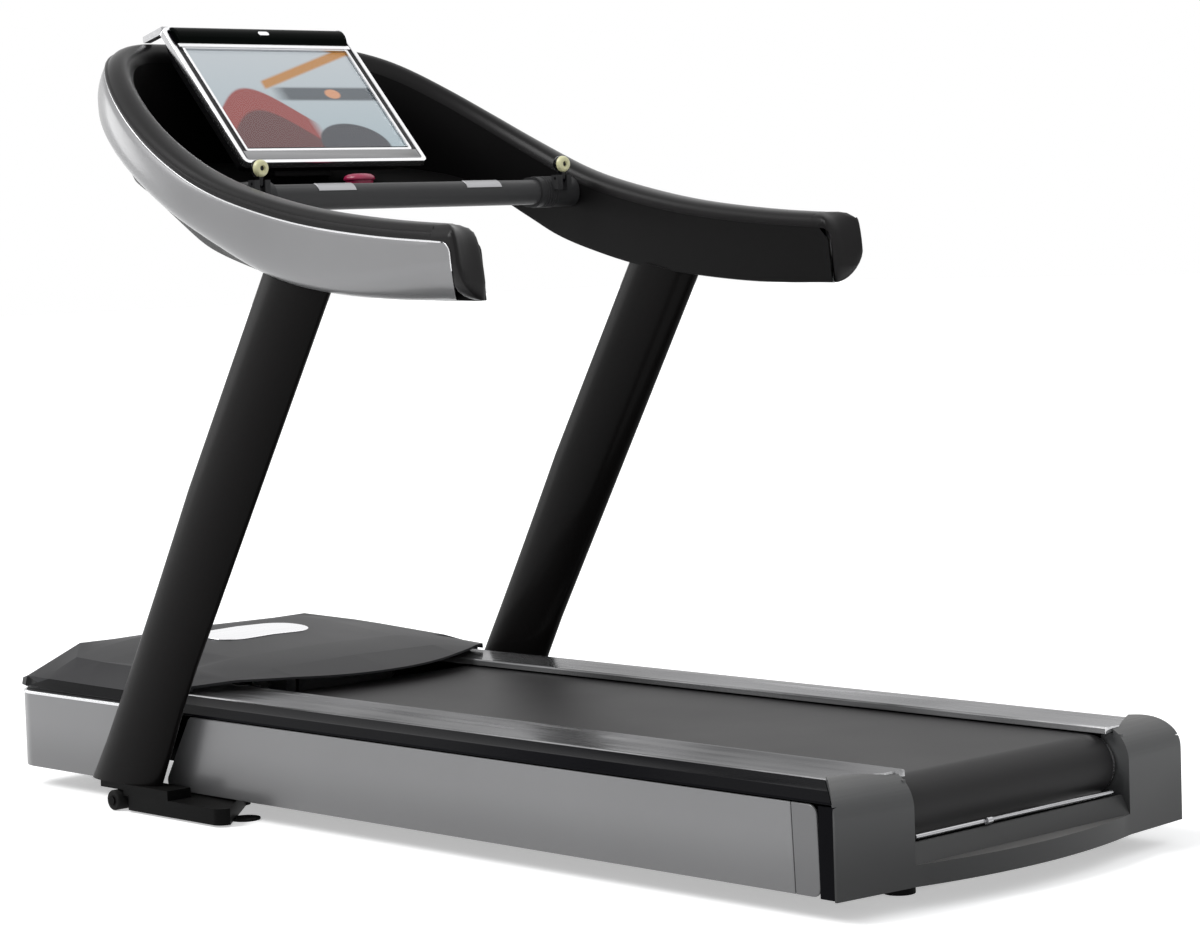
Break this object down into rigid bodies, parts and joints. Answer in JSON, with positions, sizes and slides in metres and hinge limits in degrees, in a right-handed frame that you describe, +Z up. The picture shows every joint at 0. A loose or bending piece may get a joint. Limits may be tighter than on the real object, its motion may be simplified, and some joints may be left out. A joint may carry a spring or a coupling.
{
  "type": "treadmill",
  "caption": "Gym treadmill with a powered belt on an inclining deck, leaning posts, a horseshoe console with arms and grip bar, and a tilted colour display.",
  "frame": {"origin": "on the floor under the middle of the machine's outline", "axes": "+Z up, +Y forwards towards the console and motor hood, X across the belt"},
  "size_m": [0.997, 2.2602, 1.4731],
  "materials": {
    "black_paint": "satin powder coat",
    "foot_rubber": "matt",
    "roller_plastic": "satin",
    "silver_shell": "satin silver paint on moulded panels",
    "black_plastic": "fine satin grain",
    "rim_plastic": "soft satin",
    "bar_plastic": "satin",
    "steel": "bare machined steel",
    "lever_plastic": "gloss pale yellow face on a dark knob",
    "stop_red": "gloss",
    "display_frame": "satin silver paint",
    "display_dark": "gloss",
    "screen_glass": "clear",
    "screen": "lit picture",
    "board_wood": "waxed",
    "belt_rubber": "fine woven texture",
    "cast": "painted casting",
    "controller_alu": "finned casting",
    "rail_metal": "polished with fine ribs",
    "hood_plastic": "satin",
    "bright_metal": "bright",
    "cap_plastic": "satin dark grey",
    "switch_plastic": "satin"
  },
  "bodies": {
    "frame": {"floor_frame": "black_paint", "foot_brackets": "black_paint", "rubber_feet": "foot_rubber", "post_right": "black_paint", "post_left": "black_paint", "console_shell": "silver_shell", "console_lining": "black_plastic", "console_rim": "rim_plastic", "arm_caps": "rim_plastic", "arm_frames": "black_paint", "console_tray": "black_plastic", "grip_bar": "bar_plastic", "bar_sleeves": "rim_plastic", "hinge_pins": "steel", "pulse_sensors": "steel", "stop_ring": "black_plastic", "display_bezel": "display_frame", "display_glass": "screen_glass", "display_panel": "screen", "display_visor": "display_dark", "display_sensor": "display_dark", "display_housing": "black_plastic", "display_neck": "black_plastic", "display_wings": "display_frame"},
    "deck": {"deck_beams": "black_paint", "cross_members": "black_paint", "running_board": "board_wood", "board_cushions": "foot_rubber", "running_belt": "belt_rubber", "roller_shafts": "steel", "tension_bolts": "steel", "motor": "cast", "drive_belt": "belt_rubber", "motor_bay": "black_paint", "motor_controller": "controller_alu", "foot_rail_right": "rail_metal", "foot_rail_left": "rail_metal", "side_band_right": "black_plastic", "side_band_left": "black_plastic", "side_panel_right": "silver_shell", "side_panel_left": "silver_shell", "front_shroud": "silver_shell", "hood": "hood_plastic", "hood_plate": "bright_metal", "rear_cap": "cap_plastic", "belt_strip": "bright_metal", "mains_inlet": "switch_plastic"},
    "front_drum": {"front_roller": "steel", "front_pulley": "cast"},
    "rear_drum": {"rear_roller": "steel"},
    "rotor": {"motor_rotor": "cast"},
    "lifter": {"lift_arm": "black_paint"},
    "jack": {"jack_body": "cast"},
    "screw": {"jack_screw": "steel"},
    "right_transport": {"transport_roller_right": "roller_plastic"},
    "left_transport": {"transport_roller_left": "roller_plastic"},
    "stop": {"stop_button": "stop_red"},
    "speed_control": {"speed_lever": "lever_plastic"},
    "incline_control": {"incline_lever": "lever_plastic"},
    "switch": {"power_switch": "switch_plastic"}
  },
  "joints": [
    {"name": "incline", "type": "hinge", "parent": "frame", "child": "deck", "pos_m": [0, -0.98, 0.062], "axis": [1, 0, 0], "range_deg": [0, 8.5]},
    {"name": "lift_arm_swing", "type": "hinge", "parent": "frame", "child": "lifter", "pos_m": [0, 0.12, 0.055], "axis": [1, 0, 0], "range_deg": [0, 27.51]},
    {"name": "jack_swing", "type": "hinge", "parent": "frame", "child": "jack", "pos_m": [0, 0.91, 0.055], "axis": [-1, 0, 0], "range_deg": [0, 14.82]},
    {"name": "jack_screw_travel", "type": "slide", "parent": "jack", "child": "screw", "axis": [0, -1, 0], "range_m": [0, 0.052]},
    {"name": "front_roller_spin", "type": "hinge", "parent": "deck", "child": "front_drum", "pos_m": [0, 0.52, 0.15], "axis": [1, 0, 0], "continuous": true},
    {"name": "rear_roller_spin", "type": "hinge", "parent": "deck", "child": "rear_drum", "pos_m": [0, -1.023, 0.15], "axis": [1, 0, 0], "continuous": true},
    {"name": "motor_spin", "type": "hinge", "parent": "deck", "child": "rotor", "pos_m": [0, 0.83, 0.17], "axis": [1, 0, 0], "continuous": true},
    {"name": "transport_roller_right_spin", "type": "hinge", "parent": "frame", "child": "right_transport", "pos_m": [0.476, 0.692, 0.02], "axis": [1, 0, 0], "continuous": true},
    {"name": "transport_roller_left_spin", "type": "hinge", "parent": "frame", "child": "left_transport", "pos_m": [-0.476, 0.692, 0.02], "axis": [1, 0, 0], "continuous": true},
    {"name": "stop_press", "type": "slide", "parent": "frame", "child": "stop", "axis": [0, 0, -1], "range_m": [0, 0.004], "stiffness_N_per_m": 2000, "springref_m": -0.002},
    {"name": "speed_lever_tilt", "type": "hinge", "parent": "frame", "child": "speed_control", "pos_m": [0.37, 0.329, 1.157], "axis": [1, 0, 0], "range_deg": [-12, 12], "stiffness_Nm_per_rad": 0.5},
    {"name": "incline_lever_tilt", "type": "hinge", "parent": "frame", "child": "incline_control", "pos_m": [-0.37, 0.329, 1.157], "axis": [1, 0, 0], "range_deg": [-12, 12], "stiffness_Nm_per_rad": 0.5},
    {"name": "switch_rock", "type": "hinge", "parent": "deck", "child": "switch", "pos_m": [0.216, 1.1215, 0.137], "axis": [1, 0, 0], "range_deg": [0, 16]}
  ],
  "couplings": [
    {"joint": "lift_arm_swing", "follows": "incline", "ratio": 3.2353},
    {"joint": "jack_swing", "follows": "incline", "ratio": 1.7424},
    {"joint": "jack_screw_travel", "follows": "incline", "m_per_rad": 0.34985},
    {"joint": "rear_roller_spin", "follows": "front_roller_spin", "ratio": 1},
    {"joint": "motor_spin", "follows": "front_roller_spin", "ratio": 2.2727}
  ]
}
